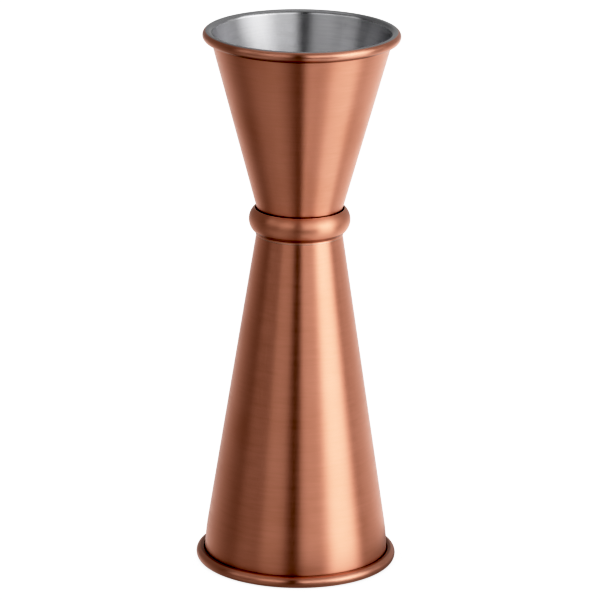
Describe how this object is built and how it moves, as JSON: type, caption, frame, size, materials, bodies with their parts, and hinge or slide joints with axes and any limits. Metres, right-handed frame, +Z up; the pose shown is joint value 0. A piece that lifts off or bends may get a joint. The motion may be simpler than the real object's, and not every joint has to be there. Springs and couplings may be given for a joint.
{
  "type": "bar jigger",
  "caption": "Double-ended bar measure: cone-shaped cups joined at a narrow waist under a round collar, with rolled rims, brushed copper outside and bare brushed steel inside.",
  "frame": {"origin": "centre of the large cup's brim plane, which the jigger stands on", "axes": "+Z up along the axis of revolution, from the large cup's mouth to the small cup's mouth; X and Y are free, because the part is round"},
  "size_m": [0.0464, 0.0464, 0.126],
  "materials": {
    "bare_steel": "bare stainless steel, fine circumferential brushing",
    "copper_plate": "copper plate with fine circumferential brushing and a satin sheen",
    "copper_collar": "copper-plated steel ring, a little smoother than the cups",
    "braze_alloy": "as-cast brazing alloy, hidden in the joint"
  },
  "bodies": {
    "root": {"small_cup": "bare_steel", "small_cup_plating": "copper_plate", "large_cup": "bare_steel", "large_cup_plating": "copper_plate", "waist_collar": "copper_collar", "floor_braze": "braze_alloy"}
  },
  "joints": []
}
